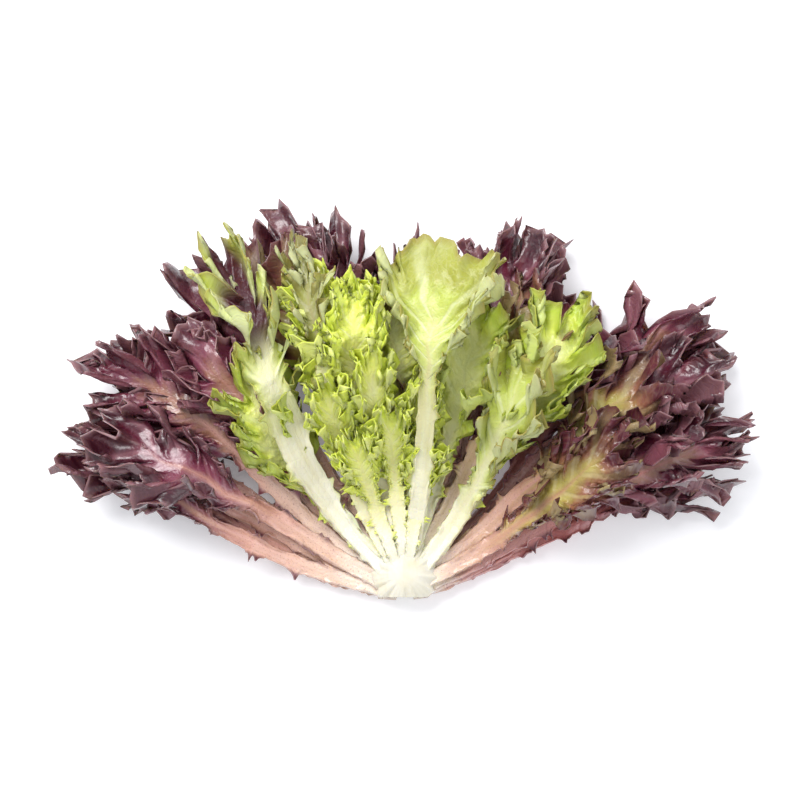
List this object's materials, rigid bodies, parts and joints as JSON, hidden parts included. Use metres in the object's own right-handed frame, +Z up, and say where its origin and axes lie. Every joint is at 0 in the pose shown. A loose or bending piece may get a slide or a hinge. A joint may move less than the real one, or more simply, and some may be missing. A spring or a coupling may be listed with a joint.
{
  "type": "halved head of lettuce",
  "caption": "Lengthwise half of a frilly red loose-leaf lettuce, lying cut side up, its leaves fanned out from the core.",
  "frame": {"origin": "centre of the bounding box's bottom face, on the surface that the half head lies on", "axes": "+X across the fan of leaves, +Y from the cut butt of the core towards the middle leaves' tips, +Z up, out of the cut side"},
  "size_m": [0.287, 0.1632, 0.0701],
  "materials": {
    "core": "satin",
    "purple_leaf": "satin",
    "bronze_leaf": "satin",
    "green_leaf": "satin",
    "pale_leaf": "satin",
    "heart_leaf": "satin"
  },
  "bodies": {
    "root": {"core": "core", "leaf_1_1": "purple_leaf", "leaf_1_2": "purple_leaf", "leaf_1_3": "purple_leaf", "leaf_1_4": "purple_leaf", "leaf_1_5": "purple_leaf", "leaf_1_6": "purple_leaf", "leaf_1_7": "purple_leaf", "leaf_2_1": "purple_leaf", "leaf_2_2": "purple_leaf", "leaf_2_3": "purple_leaf", "leaf_2_4": "purple_leaf", "leaf_2_5": "purple_leaf", "leaf_2_6": "purple_leaf", "leaf_2_7": "purple_leaf", "leaf_2_8": "purple_leaf", "leaf_2_9": "purple_leaf", "leaf_3_1": "purple_leaf", "leaf_3_2": "purple_leaf", "leaf_3_3": "purple_leaf", "leaf_3_4": "purple_leaf", "leaf_3_5": "purple_leaf", "leaf_3_6": "purple_leaf", "leaf_3_7": "purple_leaf", "leaf_3_8": "purple_leaf", "leaf_4_1": "purple_leaf", "leaf_4_2": "purple_leaf", "leaf_4_3": "purple_leaf", "leaf_4_4": "purple_leaf", "leaf_4_5": "purple_leaf", "leaf_4_6": "purple_leaf", "leaf_4_7": "purple_leaf", "leaf_4_8": "purple_leaf", "leaf_4_9": "purple_leaf", "leaf_5_1": "purple_leaf", "leaf_5_2": "purple_leaf", "leaf_5_3": "bronze_leaf", "leaf_5_4": "bronze_leaf", "leaf_5_5": "bronze_leaf", "leaf_5_6": "bronze_leaf", "leaf_6_1": "green_leaf", "leaf_6_2": "heart_leaf", "leaf_6_3": "heart_leaf", "leaf_6_4": "green_leaf", "leaf_6_5": "green_leaf", "leaf_6_6": "bronze_leaf", "leaf_7_1": "pale_leaf", "leaf_7_2": "pale_leaf", "leaf_7_3": "heart_leaf", "leaf_7_4": "pale_leaf", "leaf_7_5": "pale_leaf", "leaf_8_1": "heart_leaf", "leaf_8_2": "heart_leaf", "leaf_8_3": "heart_leaf", "leaf_9_1": "heart_leaf", "leaf_9_2": "heart_leaf", "leaf_9_3": "heart_leaf"}
  },
  "joints": []
}
